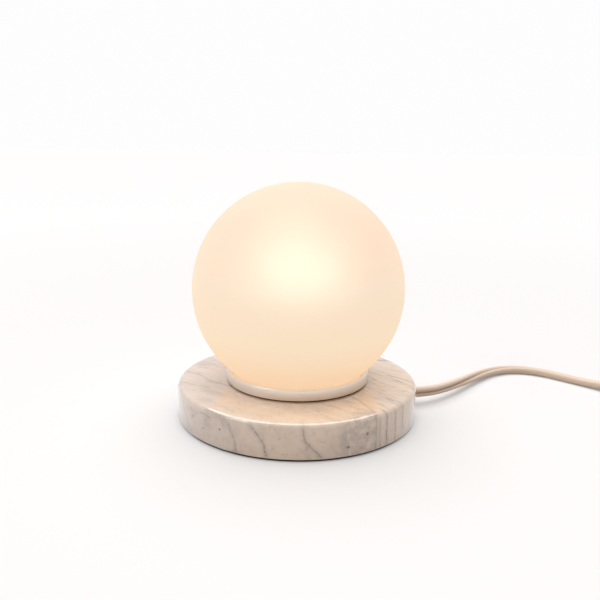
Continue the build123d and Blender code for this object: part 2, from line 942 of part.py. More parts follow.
def make_plug_sleeves():
    sleeves = []
    for side in (-1, 1):
        y = side * pin_spacing / 2
        start, end = (plug_face_x, y, 0), (plug_face_x + sleeve_length, y, 0)
        bore = rod(pin_neck_diameter / 2 + close_play, start, end)
        sleeves.append(plug_place * (rod(sleeve_diameter / 2, start, end) - bore))
    return group(sleeves)


# ---------------------------------------------------------------- free cord and coil


def coil_point(turn):
    """The coil's middle line: in on the lower layer, up in the half turn where it reverses, out again."""
    past = turn - coil_turns / 2
    away = abs(past)
    grown = 2 * away**2 if away < 0.25 else away - 0.125
    radius = coil_inner_radius + coil_pitch * grown
    climb = min(max(2 * past + 0.5, 0), 1)
    height = coil_bottom_z + coil_layer_height * climb**2 * (3 - 2 * climb)
    angle = math.radians(coil_start_angle) + 2 * math.pi * turn
    x, y = coil_middle
    return Vector(x + radius * math.cos(angle), y + radius * math.sin(angle), height)


def coil_way(turn):
    """The coil's direction at a turn."""
    step = 0.0005
    return (coil_point(turn + step) - coil_point(turn - step)).normalized()


def biarc(start, start_way, end, end_way):
    """Two arcs, smooth where they meet, from one point and direction to another."""
    across = end - start
    lean = across.dot(start_way + end_way)
    open_by = 1 - start_way.dot(end_way)
    reach = (math.sqrt(lean**2 + 2 * open_by * across.dot(across)) - lean) / (2 * open_by)
    before = start + start_way * reach
    after = end - end_way * reach
    joint = (before + after) * 0.5
    return [TangentArc(start, joint, tangent=start_way), TangentArc(joint, end, tangent=after - before)]


def least_gap(points, apart, diameter):
    """The least gap between stretches of one tube, on points that lie apart along it."""
    least = 1e9
    for i, point in enumerate(points):
        for other in points[i + apart:]:
            least = min(least, (other - point).length)
    return least - diameter


def make_cord_coil():
    quarters = round(coil_turns * 4)
    arcs = []
    for n in range(quarters):
        start, end = n / 4, (n + 1) / 4
        arcs += biarc(coil_point(start), coil_way(start), coil_point(end), coil_way(end))
    first, last = coil_point(0), coil_point(coil_turns)
    lead_in = Line(first - coil_way(0) * cord_width, first)
    lead_out = Line(last, last + coil_way(coil_turns) * cord_width)
    path = Wire([lead_in.edge(), *[arc.edge() for arc in arcs], lead_out.edge()])
    points = [arc @ (n / 8) for arc in arcs for n in range(8)]
    half_turn = 2 * 2 * 8  # quarters, arcs in each, points in each
    gap = least_gap(points, half_turn, cord_width)
    coil = sweep(Plane(path @ 0, z_dir=path % 0) * Circle(cord_radius), path=path)
    expected = math.pi * cord_radius**2 * path.length
    print(f"cord_coil: length {path.length:.1f}, least gap to itself {gap:.2f},",
          f"volume over section x length {coil.volume / expected:.4f}")
    print("cord_coil starts at", lead_in @ 0, "and ends at", lead_out @ 1)
    return coil


def make_coil_tie():
    """A flat strap round both layers, square to the turns."""
    turns = [tie_turn % 1 + n for n in range(int(coil_turns))]
    middle = Vector(*coil_middle, 0)
    radii = [(coil_point(turn) - middle - Vector(0, 0, coil_point(turn).Z)).length for turn in turns]
    inside = min(radii) - cord_radius - tie_play
    outside = max(radii) + cord_radius + tie_play
    bottom = tie_gauge
    top = coil_bottom_z + coil_layer_height + cord_radius + tie_lift
    length, height = outside - inside, top - bottom
    window = RectangleRounded(length, height, tie_corner_round)
    strap = RectangleRounded(length + 2 * tie_gauge, height + 2 * tie_gauge, tie_corner_round + tie_gauge)
    loop = extrude(Plane.XZ * (strap - window), tie_width / 2, both=True)
    loop = Pos((inside + outside) / 2, 0, (bottom + top) / 2) * loop
    return Pos(*coil_middle, 0) * Rot(0, 0, coil_start_angle + 360 * tie_turn) * loop


def make_free_cord(name, points):
    return tube(name, points, cord_radius, corner_radii(points))


# ---------------------------------------------------------------- all pieces

nodes = {
    "foot_pad": make_foot_pad(),
    "marble_base": make_marble_base(),
    "cord_bush": make_cord_bush(),
    "inner_cord": make_inner_cord(),
    "line_core": make_core("line_core", 1),
    "neutral_core": make_core("neutral_core", -1),
    "clamp_bar": make_clamp_bar(),
    "clamp_saddle": make_clamp_saddle(),
    "clamp_screws": make_clamp_screws(),
    "nipple": make_nipple(),
    "lock_washer": make_lock_washer(),
    "lock_nut": make_lock_nut(),
    "collar_gasket": make_collar_gasket(),
    "collar": make_collar(),
    "globe_seat": make_globe_seat(),
    "globe_clips": make_clips(),
    "clip_rivets": make_clip_rivets(),
    "globe": make_globe(),
    "holder_cap": make_holder_cap(),
    "holder_skirt": make_holder_skirt(),
    "holder_insert": make_holder_insert(),
    "screw_shell": make_screw_shell(),
    "centre_contact": make_centre_contact(),
    "terminal_blocks": make_terminal_blocks(),
    "terminal_screws": make_terminal_screws(),
    "bulb_contact": make_bulb_contact(),
    "bulb_insulator": make_bulb_insulator(),
    "bulb_screw_cap": make_bulb_screw_cap(),
    "bulb_housing": make_bulb_housing(),
    "bulb_led_board": make_led_board(),
    "bulb_diffuser": make_bulb_diffuser(),
    "cord_to_switch": make_free_cord("cord_to_switch", route_to_switch),
    "switch_lower": make_switch_lower(),
    "switch_upper": make_switch_upper(),
    "switch_rocker": make_switch_rocker(),
    "switch_pivot": make_switch_pivot(),
    "switch_contacts": make_switch_contacts(),
    "switch_screws": make_switch_screws(),
    "cord_to_coil": make_free_cord("cord_to_coil", route_to_coil),
    "cord_coil": make_cord_coil(),
    "coil_tie": make_coil_tie(),
    "cord_to_plug": make_free_cord("cord_to_plug", route_to_plug),
    "plug_body": make_plug_body(),
    "plug_pins": make_plug_pins(),
    "plug_sleeves": make_plug_sleeves(),
}

os.makedirs("parts", exist_ok=True)
for name, shape in nodes.items():
    export_step(shape, f"parts/{name}.step")

print("corner radii of the free cord:")
for route in (route_to_switch, route_to_coil, route_to_plug):
    print([round(radius, 1) for radius in corner_radii(route)])
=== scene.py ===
# %% [markdown]
# # A glass globe table lamp
# A small lamp: a lit opal glass ball stands in a low metal collar on a round, polished marble
# base, and a flat textile cord runs off to the right. The hard parts arrive from the CAD model
# and stay where they are. This lesson gives them their finishes, models the pieces that the eye
# rests on again with smooth surfaces, and lays the cord. Everything is in metres, with +Z up and
# the origin under the base.

# %% Load the frame
import math

import bmesh
import bpy
from mathutils import Matrix, Vector


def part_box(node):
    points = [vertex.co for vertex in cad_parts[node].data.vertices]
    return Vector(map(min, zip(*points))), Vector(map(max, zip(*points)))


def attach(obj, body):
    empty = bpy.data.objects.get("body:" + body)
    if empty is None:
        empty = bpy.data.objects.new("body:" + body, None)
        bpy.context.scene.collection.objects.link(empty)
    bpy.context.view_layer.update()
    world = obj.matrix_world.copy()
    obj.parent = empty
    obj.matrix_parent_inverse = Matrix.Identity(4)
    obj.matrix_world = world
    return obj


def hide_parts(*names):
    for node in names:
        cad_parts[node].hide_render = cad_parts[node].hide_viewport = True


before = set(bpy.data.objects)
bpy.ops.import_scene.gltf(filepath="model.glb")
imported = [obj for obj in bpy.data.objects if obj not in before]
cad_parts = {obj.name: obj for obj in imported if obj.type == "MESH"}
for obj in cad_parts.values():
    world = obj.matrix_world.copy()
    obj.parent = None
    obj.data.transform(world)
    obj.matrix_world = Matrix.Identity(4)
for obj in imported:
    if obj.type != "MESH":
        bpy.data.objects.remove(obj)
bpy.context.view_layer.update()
mm = 0.001

# %% [markdown]
# ## The camera
# The camera is made first, because the cord's unseen length has to stay outside its view. The
# lens, the distance and the height come from a fit of the globe's and the base's outlines: a
# perspective camera about 38 cm away, looking down by 13 degrees. It stands 9 degrees to the left
# of the cord's exit, and it is rolled by under a degree, as a camera on a tripod often is.

# %% Camera
view_turn = math.radians(9.0)
view_down = math.radians(12.864)
view_roll = math.radians(0.82)
view_distance = 383.29 * mm
aim_right = 0.93 * mm
aim_height = 66.78 * mm
focal_length = 40.237
to_right = Vector((math.cos(view_turn), -math.sin(view_turn), 0))
to_back = Vector((math.sin(view_turn), math.cos(view_turn), 0))
looked_at = to_right * aim_right + Vector((0, 0, aim_height))
sight = to_back * math.cos(view_down) - Vector((0, 0, math.sin(view_down)))

lens = bpy.data.cameras.new("camera")
lens.sensor_width = 36.0
lens.lens = focal_length
lens.clip_start = 0.01
camera = bpy.data.objects.new("camera", lens)
bpy.context.scene.collection.objects.link(camera)
aim = sight.to_track_quat("-Z", "Y").to_matrix().to_4x4()
camera.matrix_world = (
    Matrix.Translation(looked_at - sight * view_distance) @ aim @ Matrix.Rotation(view_roll, 4, "Z")
)
bpy.context.scene.camera = camera
print("camera at", tuple(round(v / mm, 1) for v in camera.location))

# %% [markdown]
# ## The cord's route
# The cord is a flat twin flex in a woven sleeve, 6.2 mm wide and 5.1 mm thick. It leaves the
# stone low down, swings to the back and comes forward again, as it does on the table. Then it
# passes through a rocker switch, and what is left of its 1.8 m is wound into a tied coil with the
# plug beside it. Each stretch is one smooth NURBS spline with a few control points, which bends
# like a real flex, without corners. The coil's turns are more control points on the same spline,
# sixteen to a turn. The control points and the coil's measures are in millimetres.

# %% Route points
route_to_switch = [
    (66.0, 0.0, 7.8),
    (79.0, 0.0, 7.8),
    (92.5, 6.6, 7.2),
    (107.0, 17.6, 6.1),
    (120.5, 29.2, 4.7),
    (134.5, 40.4, 3.6),
    (149.0, 47.9, 3.1),
    (164.0, 48.2, 3.1),
    (177.5, 40.6, 3.1),
    (187.5, 28.5, 3.1),
    (196.5, 16.6, 3.2),
    (204.5, 5.5, 4.0),
    (211.0, -5.5, 5.1),
    (216.0, -16.0, 5.5),
]
route_to_coil = [
    (239.2, -64.8, 5.5),
    (245.2, -77.4, 5.5),
    (259.0, -89.3, 4.7),
    (274.3, -94.9, 4.0),
    (289.8, -94.54, 4.0),
]
route_to_plug = [
    (342.55, -41.8, 10.75),
    (342.8, -30.8, 10.75),
    (341.0, -18.0, 9.0),
    (336.0, -6.0, 7.0),
    (331.6, 4.0, 7.0),
]

coil_middle = (296.0, -48.0)
coil_turns = 6.25
coil_inner = 26.0
coil_pitch = 6.8
coil_low = 4.0
coil_layer = 6.75
points_per_turn = 16


def coil_point(turn):
    """In on the lower layer, up in the half turn where the spiral reverses, and out above."""
    past = turn - coil_turns / 2
    away = abs(past)
    grown = 2 * away**2 if away < 0.25 else away - 0.125
    # a spline cuts inside its control points, so they stand a little further out
    reach = (coil_inner + coil_pitch * grown) * 2 / (1 + math.cos(2 * math.pi / points_per_turn))
    climb = min(max(2 * past + 0.5, 0), 1)
    angle = math.tau * (turn - 0.25)
    return (
        coil_middle[0] + reach * math.cos(angle),
        coil_middle[1] + reach * math.sin(angle),
        coil_low + coil_layer * climb**2 * (3 - 2 * climb),
    )


coil_count = int(coil_turns * points_per_turn)
coil_route = [coil_point((n + 0.5) / points_per_turn) for n in range(coil_count)]
print("coil control points", len(coil_route))

# %% [markdown]
# ## From a spline to a woven flat cord
# A bevelled curve can't turn its flat side from upright to lying, so the cord is a mesh: Blender
# works out the spline's own points, and a small outline with two lobes is carried along them. At
# the stone and in the coil the cord stands on edge, because a flat flex bends most easily that
# way. On the table it lies flat. The mesh keeps its own map, along and around, for the weave.

# %% Spline and sleeve
cord_wide = 6.2 * mm
cord_thick = 5.1 * mm
cord_radius = cord_wide / 2
lobe_power, crown_power = 0.72, 0.86
groove_share, groove_wide = 0.34, 0.75 * mm
outline_count = 36
spline_steps = 6
spline_order = 3


def spline_points(name, route):
    """The points of a NURBS spline with the route as its control points."""
    curve = bpy.data.curves.new(name, "CURVE")
    curve.dimensions = "3D"
    curve.resolution_u = spline_steps
    spline = curve.splines.new("NURBS")
    spline.points.add(len(route) - 1)
    for point, place in zip(spline.points, route):
        point.co = (*(v * mm for v in place), 1)
    spline.order_u = spline_order
    spline.use_endpoint_u = True
    guide = bpy.data.objects.new(name, curve)
    bpy.context.scene.collection.objects.link(guide)
    bpy.context.view_layer.update()
    line = bpy.data.meshes.new_from_object(guide)
    points = [v.co.copy() for v in line.vertices]
    bpy.data.objects.remove(guide)
    return points


def sleeve_outline():
    """The cord's outline: two lobes side by side, with a shallow groove between them."""
    outline = []
    for n in range(outline_count):
        angle = math.tau * n / outline_count
        across, over = math.cos(angle), math.sin(angle)
        x = cord_radius * math.copysign(abs(across) ** lobe_power, across)
        groove = 1 - groove_share * math.exp(-((x / groove_wide) ** 2))
        y = cord_thick / 2 * math.copysign(abs(over) ** crown_power, over) * groove
        outline.append((x, y))
    return outline


def smooth_between(low, high, value):
    """0 below low, 1 above high, and smooth from one to the other."""
    share = min(max((value - low) / (high - low), 0), 1)
    return share * share * (3 - 2 * share)


def sleeve(name, points, upright, lowered):
    """Carries the outline along the points. upright and lowered say, from the length so far, how
    far the outline stands on edge and how far it has settled down to the table."""
    outline = sleeve_outline()
    count = len(outline)
    lengths = [0.0]
    for a, b in zip(points, points[1:]):
        lengths.append(lengths[-1] + (b - a).length)
    around = [0.0]
    for (x0, y0), (x1, y1) in zip(outline, outline[1:] + outline[:1]):
        around.append(around[-1] + math.hypot(x1 - x0, y1 - y0))
    mesh = bmesh.new()
    rings = []
    for n, point in enumerate(points):
        along = (points[min(n + 1, len(points) - 1)] - points[max(n - 1, 0)]).normalized()
        side = along.cross(Vector((0, 0, 1))).normalized()
        over = side.cross(along)
        edge = -upright(lengths[n]) * math.pi / 2
        tall = max(x * math.sin(edge) + y * math.cos(edge) for x, y in outline)
        middle = point - Vector((0, 0, (cord_radius - tall) * lowered(lengths[n])))
        wide = side * math.cos(edge) + over * math.sin(edge)
        thick = over * math.cos(edge) - side * math.sin(edge)
        rings.append([mesh.verts.new(middle + wide * x + thick * y) for x, y in outline])
    layer = mesh.loops.layers.uv.new("weave")
    for n in range(len(rings) - 1):
        for k in range(count):
            corners = [(n, k), (n, k + 1), (n + 1, k + 1), (n + 1, k)]
            face = mesh.faces.new([rings[r][c % count] for r, c in corners])
            face.smooth = True
            for loop, (r, c) in zip(face.loops, corners):
                loop[layer].uv = (lengths[r] / mm, around[c] / around[-1])
    mesh.faces.new(rings[0])
    mesh.faces.new(list(reversed(rings[-1])))
    bmesh.ops.recalc_face_normals(mesh, faces=mesh.faces)
    made = bpy.data.meshes.new(name)
    mesh.to_mesh(made)
    mesh.free()
    piece = bpy.data.objects.new(name, made)
    bpy.context.scene.collection.objects.link(piece)
    print(name, "length", round(lengths[-1] / mm, 1), "mm, faces", len(made.polygons))
    return piece


# %% [markdown]
# ### The two stretches
# The first stretch leaves the stone on edge and turns flat as it crosses the table. The second
# leaves the switch flat, stands up as it enters the coil, and lies down again on its way to the
# plug. Only the first one is lowered: where it lies flat, its route's height is still that of a
# cord on edge.


# %% Cords
def front_upright(length):
    return 1 - smooth_between(14 * mm, 130 * mm, length)


def front_lowered(length):
    lands = smooth_between(18 * mm, 70 * mm, length)
    leaves = smooth_between(150 * mm, 185 * mm, length)
    return lands * (1 - leaves)


def back_upright(length):
    stands_up = smooth_between(6 * mm, 60 * mm, length)
    lies_down = smooth_between(1490 * mm, 1520 * mm, length)
    return stands_up * (1 - lies_down)


def back_lowered(length):
    return 0.0


front_points = spline_points("front_guide", route_to_switch)
front_cord = sleeve("cord_front", front_points, front_upright, front_lowered)
back_points = spline_points("back_guide", route_to_coil + coil_route + route_to_plug)
back_cord = sleeve("cord_back", back_points, back_upright, back_lowered)

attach(front_cord, "base")
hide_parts("cord_to_switch")
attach(back_cord, "base")
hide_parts("cord_to_coil", "cord_coil", "cord_to_plug")

# %% [markdown]
# ## Shader maths as expressions
# A material is a tree of nodes, and its arithmetic is easier to read as an expression than as a
# pile of Math nodes. A Signal wraps one socket. Adding or multiplying signals makes the Math node
# behind the scenes, and every other node comes from its node method: first the settings, then the
# inputs.


# %% Signal
class Signal:
    """A socket of a node tree that can be used in sums."""

    def __init__(self, tree, socket=None):
        self.tree = tree
        self.socket = socket

    def node(self, kind, settings=None, sockets=None, output=0):
        made = self.tree.nodes.new(kind)
        for name, value in (settings or {}).items():
            if name == "stops":
                ramp = made.color_ramp
                while len(ramp.elements) < len(value):
                    ramp.elements.new(0.5)
                for element, (place, colour) in zip(ramp.elements, value):
                    element.position = place
                    element.color = colour
            else:
                setattr(made, name, value)
        for name, value in (sockets or {}).items():
            if isinstance(value, Signal):
                self.tree.links.new(value.socket, made.inputs[name])
            else:
                made.inputs[name].default_value = value
        return Signal(self.tree, made.outputs[output])

    def output(self, name):
        """Another output of the node that this socket is on."""
        return Signal(self.tree, self.socket.node.outputs[name])

    def maths(self, operation, *values, clamp=False):
        return self.node(
            "ShaderNodeMath", {"operation": operation, "use_clamp": clamp}, dict(enumerate(values))
        )

    def __add__(self, other):
        return self.maths("ADD", self, other)

    def __sub__(self, other):
        return self.maths("SUBTRACT", self, other)

    def __mul__(self, other):
        return self.maths("MULTIPLY", self, other)

    def __truediv__(self, other):
        return self.maths("DIVIDE", self, other)

    def __rsub__(self, other):
        return self.maths("SUBTRACT", other, self)

    def __abs__(self):
        return self.maths("ABSOLUTE", self)

    def sine(self):
        return self.maths("SINE", self)

    def larger(self, other):
        return self.maths("MAXIMUM", self, other)

    def smaller(self, other):
        return self.maths("MINIMUM", self, other)

    def clamped(self):
        return self.maths("ADD", self, 0.0, clamp=True)

    def between(self, low, high):
        """0 below low, 1 above high, smooth from one to the other. high may be the lower one."""
        return self.node(
            "ShaderNodeMapRange",
            {"interpolation_type": "SMOOTHSTEP"},
            {"Value": self, "From Min": low, "From Max": high},
        )

    def vector(self, operation, sockets, output=0):
        return self.node("ShaderNodeVectorMath", {"operation": operation}, sockets, output)

    def along(self, direction):
        """The distance of a place along a direction."""
        return self.vector("DOT_PRODUCT", {0: self, 1: direction}, output=1)

    def scaled(self, factor):
        return self.vector("SCALE", {0: self, "Scale": factor})

    def moved(self, by):
        return self.vector("ADD", {0: self, 1: by})

    def distance_to(self, other):
        return self.vector("DISTANCE", {0: self, 1: other}, output=1)

    def noise(self, scale, detail=2.0, roughness=0.5, colour=False):
        return self.node(
            "ShaderNodeTexNoise",
            {"noise_dimensions": "3D"},
            {"Vector": self, "Scale": scale, "Detail": detail, "Roughness": roughness},
            output=1 if colour else 0,
        )

    def mixed(self, low, high):
        """The colour low where this is 0 and high where it is 1."""
        return self.node(
            "ShaderNodeMix",
            {"data_type": "RGBA", "clamp_factor": True},
            {0: self, 6: low, 7: high},
            output=2,
        )


def colour(red, green, blue):
    return (red, green, blue, 1.0)


def new_finish(name, **sockets):
    """A material with a Principled shader, whose sockets are given with underscores for spaces.
    Returns the material, the place on the object in millimetres, and the shader."""
    material = bpy.data.materials.new(name)
    material.use_nodes = True
    tree = material.node_tree
    shader = tree.nodes["Principled BSDF"]
    for socket, value in sockets.items():
        shader.inputs[socket.replace("_", " ")].default_value = value
    place = Signal(tree).node("ShaderNodeTexCoord", output=3).scaled(1 / mm)
    return material, place, shader


def feed(shader, **signals):
    """Links signals to the shader's sockets."""
    for socket, signal in signals.items():
        signal.tree.links.new(signal.socket, shader.inputs[socket.replace("_", " ")])


def bumped(height, distance, strength=1.0):
    """A normal from a height signal; distance is in millimetres."""
    return height.node(
        "ShaderNodeBump", {}, {"Height": height, "Distance": distance * mm, "Strength": strength}
    )


# %% [markdown]
# ## Marble
# The stone is a cream marble. Its layers stand upright and run one way, so their traces lie side
# by side on the top, as slanting lines, and turn straight down where they reach the side. That
# only works with a solid texture: the pattern is worked out in space and the surface cuts through
# it. A fine line is where a noise crosses its middle value, and a noise that is squeezed across
# the layers gives parallel lines. A clear coat over the stone is its polish, in which the lit
# globe is mirrored.

# %% The stone's layers
marble, place, shader = new_finish(
    "marble", Roughness=0.1, IOR=1.6, Coat_Weight=0.8, Coat_Roughness=0.03, Coat_IOR=1.6
)
layer_heading = math.radians(-50.0)
with_layers = (math.cos(layer_heading), math.sin(layer_heading), 0.0)
across_layers = (-math.sin(layer_heading), math.cos(layer_heading), 0.12)
upward = (0.0, 0.0, 1.0)

drift_reach = 9.0
centred = (-0.5, -0.5, -0.5)
drift = place.noise(0.02, detail=2.0, colour=True).moved(centred).scaled(drift_reach)
flutter = place.noise(0.28, detail=3.0, colour=True).moved(centred)
bent = place.moved(drift)


def layered(across, within, upright, flutter_by=1.0, offset=(0.0, 0.0, 0.0)):
    """Places squeezed so that a noise on them lies in the stone's layers. The first three numbers
    are per millimetre, and the last two are in millimetres."""
    wavy = bent.moved(flutter.scaled(flutter_by)).moved(offset)
    return wavy.node(
        "ShaderNodeCombineXYZ",
        {},
        {
            "X": wavy.along(across_layers) * across,
            "Y": wavy.along(with_layers) * within,
            "Z": wavy.along(upward) * upright,
        },
    )


def lines(noise, width, middle=0.5):
    """1 in the middle of a line, where the noise crosses its middle value, and 0 beside it."""
    return (1.0 - abs(noise - middle) / width).clamped()


# %% [markdown]
# ### Clouds, streaks and parallel lines
# Grey clouds, rose bands and tan mottles are broad and faint. Fine parallel lines, broken into
# dashes, lie on the top of the stone's right half and run straight down its right side. Two masks
# keep them there: how far a place is to the right, and whether it is on the top. Towards the back
# they fade.

# %% Clouds and streaks
rightward = (0.988, -0.156, 0.0)
from_middle = place.along(rightward)
on_top = place.along(upward).between(19.0, 21.5)
right_half = from_middle.between(-12.0, 34.0)
right_side = from_middle.between(40.5, 43.0)
to_front_right = from_middle + place.along((0.0, -0.6, 0.0))
right_half = right_half * (to_front_right.between(-6.0, 22.0) * 0.7 + 0.3)
banded = right_half * on_top.larger(right_side)
left_half = from_middle.between(-8.0, -50.0)

patches = place.moved((40.0, 13.0, 5.0)).noise(0.045, detail=3.0, roughness=0.55)
clouds = layered(0.05, 0.02, 0.05, 6.0).noise(1.0, detail=4.0, roughness=0.6)
streaks = layered(0.26, 0.035, 0.06, 2.0, (7.0, 3.0, 0.0)).noise(1.0, detail=4.0, roughness=0.62)
mottle = place.moved((3.0, 50.0, 9.0)).noise(0.22, detail=5.0, roughness=0.7)
smoke = layered(0.11, 0.03, 0.035, 4.0, (31.0, 0.0, 4.0)).noise(1.0, detail=4.0, roughness=0.65)
grains = place.noise(0.8, detail=4.0, roughness=0.7)

hairs = lines(layered(0.42, 0.010, 0.008, 0.3).noise(1.0, detail=2.0, roughness=0.6), 0.06)
threads = lines(layered(0.15, 0.010, 0.006, 0.7, (3.0, 11.0, 0.0)).noise(1.0, detail=1.5), 0.016)
dashes = layered(0.5, 0.085, 0.05, 1.0, (0.0, 31.0, 7.0)).noise(1.0, detail=2.0, roughness=0.6)
parallel = hairs * banded * dashes.between(0.44, 0.62) * (on_top * 0.45 + 0.15)
parallel = parallel + threads * banded * dashes.between(0.60, 0.44) * (on_top * 0.6 + 0.3)
wisps = layered(0.085, 0.016, 0.02, 1.6, (19.0, 0.0, 2.0)).noise(1.0, detail=2.0, roughness=0.5)
wisps = lines(wisps, 0.012) * from_middle.between(-22.0, -34.0)
wisps = wisps * patches.between(0.44, 0.58) * grains.between(0.35, 0.6) * 0.5

# %% [markdown]
# ### Cracks, listed one by one
# A few cracks are the stone's own marks. Each is a short chain of straight pieces, in
# millimetres, and the pattern measures how far every point of the stone is from that chain. A
# flutter in the place it reads makes the chain wander like a real crack. A crack whose corners
# have no height runs straight down through the stone. All cracks share one running distance, and
# they don't feed the bump: a bump works out all that feeds it three times over, and a material
# that holds too many numbers at a time turns black.

# %% Cracks
wavering = place.moved(flutter.scaled(1.3))

# each row: how wide the crack is, how strong, and its corners
crack_rows = [
    (
        0.8,
        1.0,
        [(-33.0, -60.9, 18.0), (-28.6, -62.8, 12.9), (-26.4, -63.8, 9.0), (-25.2, -64.4, 3.0)],
    ),
    (0.6, 0.7, [(-43.0, -54.0, 16.0), (-40.2, -56.1, 7.5), (-39.7, -56.4, 1.0)]),
    (0.8, 0.9, [(-7.8, -68.6, 20.0), (-6.7, -68.7, 11.8), (-2.4, -69.0, 6.8), (2.0, -69.0, 2.5)]),
    (0.7, 0.6, [(-64.0, 16.5), (-58.7, 12.2), (-54.1, 6.3), (-50.3, -1.1), (-39.0, -12.0)]),
    (0.6, 0.5, [(-68.0, 1.5), (-61.0, -5.7), (-52.0, -12.5)]),
    (0.5, 0.5, [(-53.5, 35.0), (-47.0, 28.0)]),
    (0.6, 0.5, [(23.0, -32.0), (28.0, -44.0), (31.6, -61.0)]),
    (0.55, 0.55, [(33.4, -60.4, 21.0), (34.0, -60.0, 1.0)]),
    (0.65, 0.85, [(38.0, -57.6, 21.0), (38.4, -57.4, 1.0)]),
    (0.7, 0.9, [(44.0, -53.2, 21.0), (44.2, -53.0, 1.0)]),
    (0.45, 0.7, [(49.2, -48.4, 21.0), (49.6, -48.0, 6.0)]),
    (0.9, 1.0, [(66.0, 22.0), (51.0, 27.0), (40.0, 39.0), (21.0, 46.0), (9.0, 68.0)]),
    (0.7, 0.8, [(34.0, 60.0), (18.0, 52.0), (-6.0, 54.0), (-30.0, 62.0)]),
    (0.6, 0.7, [(-6.0, 54.0), (-22.0, 44.0), (-41.0, 47.0), (-50.0, 58.0)]),
]


def away_from_crack(width, strength, corners):
    """The distance from a crack in widths of the crack. A weaker one counts as further away."""
    upright = len(corners[0]) == 2
    corners = [Vector(corner).to_3d() for corner in corners]
    nearest = None
    for start_at, end_at in zip(corners, corners[1:]):
        chain = end_at - start_at
        ahead = wavering.moved(tuple(-v for v in start_at))
        if upright:
            ahead = ahead.vector("MULTIPLY", {0: ahead, 1: (1.0, 1.0, 0.0)})
        share = ahead.along(tuple(chain / chain.length_squared)).clamped()
        reached = share.vector("SCALE", {0: tuple(chain), "Scale": share})
        away = ahead.distance_to(reached)
        nearest = away if nearest is None else nearest.smaller(away)
    return nearest / width + (1.0 - strength)


gap = away_from_crack(*crack_rows[0])
for row in crack_rows[1:]:
    gap = gap.smaller(away_from_crack(*row))
halos = gap.between(4.0, 0.0)
cracks = (1.0 - gap).clamped() * grains.between(0.34, 0.56)


def speck(size, centre):
    """1 inside a dark fleck of the stone and 0 outside."""
    return wavering.distance_to(centre).between(size, size * 0.5)


specks = speck(0.95, (26.3, -63.8, 11.6))
for size, centre in [
    (1.0, (15.9, -67.2, 6.4)),
    (0.75, (-47.4, -50.2, 12.0)),
    (0.8, (31.0, -61.5, 19.6)),
    (0.6, (-44.5, 8.0, 21.3)),
    (0.55, (-55.6, -41.0, 9.0)),
]:
    specks = specks + speck(size, centre)
fleck_field = place.noise(0.5, detail=1.0).between(0.68, 0.74) * patches.between(0.44, 0.55)
grey_patch = speck(18.0, (24.5, -64.5, 11.0)) * from_middle.between(41.6, 40.8)

# %% Marble's colours
marks = (parallel + wisps + cracks * 0.85 + specks * 0.95 + fleck_field * 0.25).clamped()
cream = colour(0.94, 0.79, 0.64)
cool = colour(0.79, 0.70, 0.635)
rose = colour(0.76, 0.585, 0.47)
tan = colour(0.70, 0.52, 0.37)
grey = colour(0.40, 0.365, 0.35)
dark = colour(0.17, 0.145, 0.125)
brown = colour(0.27, 0.20, 0.155)
ground = (left_half * 0.8 + clouds.between(0.45, 0.7) * 0.45).clamped().mixed(cream, cool)
ground = (streaks.between(0.50, 0.66) * (banded * 0.25 + 0.3)).mixed(ground, rose)
ground = (mottle.between(0.48, 0.72) * 0.5).mixed(ground, tan)
ashen = smoke.between(0.47, 0.68) * (left_half * 0.55 + 0.2) * (1.0 - on_top * 0.6) + halos * 0.32
ashen = ashen + grey_patch * mottle.between(0.30, 0.62) * 0.6
ground = ashen.clamped().mixed(ground, grey)
ground = (grains.between(0.35, 0.75) * 0.25).mixed(ground, cool)
ink = on_top.mixed(dark, brown)
feed(shader, Base_Color=(marks * 0.92).mixed(ground, ink))
feed(shader, Roughness=marks * 0.14 + grains * 0.05 + 0.04)
feed(shader, Normal=bumped(grains, 0.002, 0.4))
print("marble nodes", len(marble.node_tree.nodes))

# %% [markdown]
# ## The lit opal glass
# Opal glass scatters the light of the bulb inside it. Here the wall itself glows, a little more
# where the bulb is near, and a part of it lets the bulb's own light through, blurred, so that the
# bright heart of the globe moves with the eye as it does in life.

# %% Opal glass finish
glow_low, glow_high = 34.0, 130.0
opal_glass, place, shader = new_finish(
    "opal_glass", Roughness=0.9, IOR=1.33, Emission_Strength=0.66, Transmission_Weight=0.24
)
height = place.along(upward)
low_down = height.between(88.0, 24.0)
glow = height.node(
    "ShaderNodeValToRGB",
    {
        "stops": [
            (0.0, colour(0.97, 0.685, 0.45)),
            (0.2, colour(1.0, 0.80, 0.585)),
            (0.5, colour(1.0, 0.82, 0.63)),
            (0.8, colour(1.0, 0.74, 0.555)),
            (1.0, colour(0.97, 0.72, 0.54)),
        ]
    },
    {0: (height - glow_low) / (glow_high - glow_low)},
)
feed(
    shader,
    Base_Color=low_down.mixed(colour(0.30, 0.275, 0.24), colour(0.34, 0.30, 0.25)),
    Emission_Color=glow,
)

# %% [markdown]
# ## Metals, plastics, rubber and ceramic
# The small parts share a few recipes. A plated or turned metal has a soft mottle, a moulded
# plastic or rubber a fine grain, and the cord a braid of strands that cross, with painted shade in
# its hollows and grooves. Each recipe is a function, and each finish calls it with its own numbers.


# %% Recipes
def moulded(name, tint, roughness=0.38, grain=0.02, variation=0.05):
    """Moulded plastic or rubber: a fine grain and a faint change of colour."""
    material, place, shader = new_finish(name, Roughness=roughness)
    patches = place.noise(0.12, detail=3.0)
    darker = colour(*(v * (1 - variation * 3) for v in tint))
    feed(shader, Base_Color=patches.mixed(darker, colour(*tint)))
    grains = place.noise(3.5, detail=2.0)
    feed(shader, Roughness=grains * 0.12 + (roughness - 0.06))
    feed(shader, Normal=bumped(grains, grain, 0.6))
    return material


